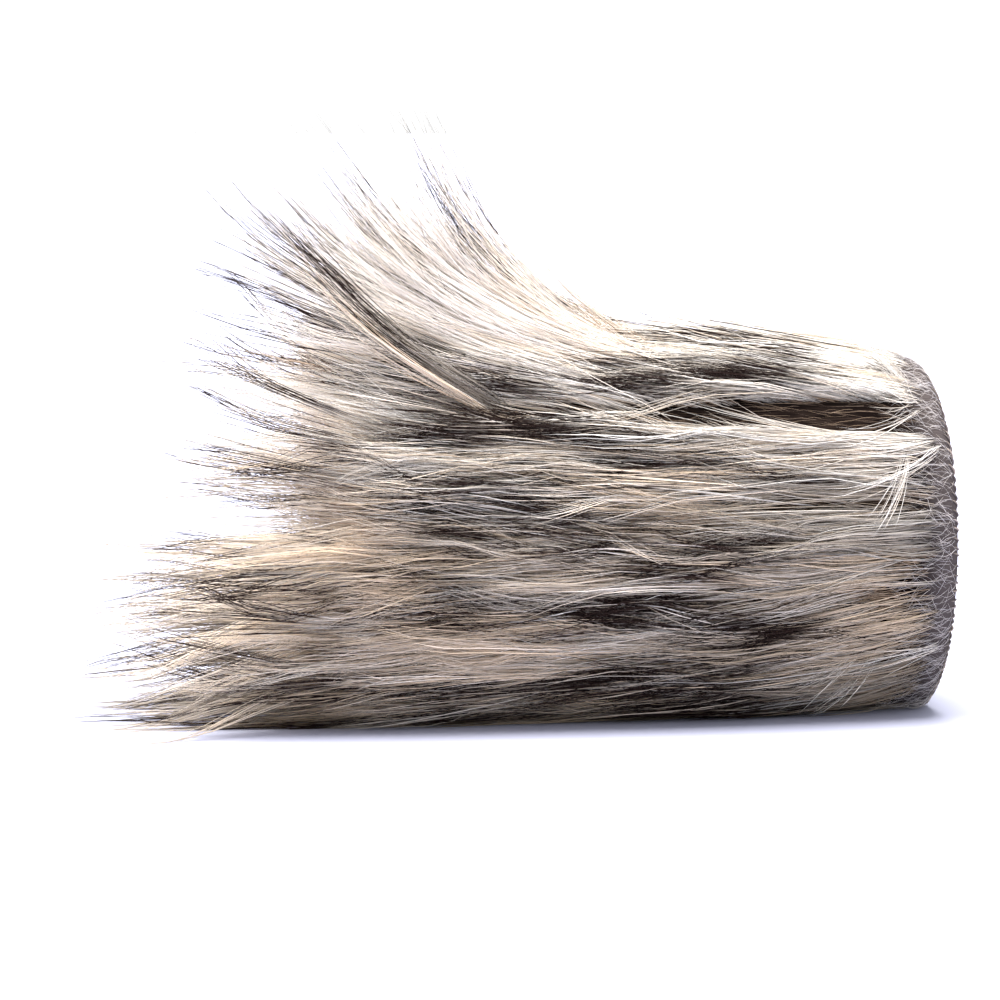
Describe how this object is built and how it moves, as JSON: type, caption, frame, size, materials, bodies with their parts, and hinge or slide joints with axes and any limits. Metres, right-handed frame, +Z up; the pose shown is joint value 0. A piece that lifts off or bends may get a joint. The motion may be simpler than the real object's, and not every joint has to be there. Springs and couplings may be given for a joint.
{
  "type": "furry windscreen",
  "caption": "Slip-on furry windscreen: long-pile sewn cover over a cylindrical foam core with a rubber microphone boot.",
  "frame": {"origin": "centre of the microphone bore's mouth, at the outer face of the rubber boot", "axes": "+X along the bore, out of its mouth, so the nose points along -X; +Z up as it lies at rest"},
  "size_m": [0.2217, 0.1064, 0.1423],
  "materials": {
    "boot_rubber": "matt moulded rubber",
    "plate_plastic": "fine matt texture",
    "foam": "open-cell foam",
    "scrim": "open scrim",
    "mesh_knit": "fine knitted mesh",
    "lining_knit": "spacer knit",
    "backing_knit": "warp-knitted backing",
    "hem_tape": "woven tape",
    "elastic": "braided elastic",
    "thread": "polyester thread",
    "pile": "long modacrylic pile, cream with dark brown tips"
  },
  "bodies": {
    "core": {"mic_boot": "boot_rubber", "base_plate": "plate_plastic", "boot_clamp_ring": "plate_plastic", "foam_body": "foam", "foam_nose": "foam", "cavity_liner": "scrim", "mesh_sock": "mesh_knit"},
    "fur_cover": {"cover_lining": "lining_knit", "nose_lining": "lining_knit", "nose_backing": "backing_knit", "side_backing": "backing_knit", "hem_tape": "hem_tape", "hem_elastic": "elastic", "side_seam_thread": "thread", "nose_seam_thread": "thread", "lining_seam_thread": "thread", "hem_stitching": "thread", "side_pile": "pile", "crest_pile": "pile", "nose_pile": "pile"}
  },
  "joints": [
    {"name": "cover_slide", "type": "slide", "parent": "core", "child": "fur_cover", "axis": [-1, 0, 0], "range_m": [0, 0.19]}
  ]
}
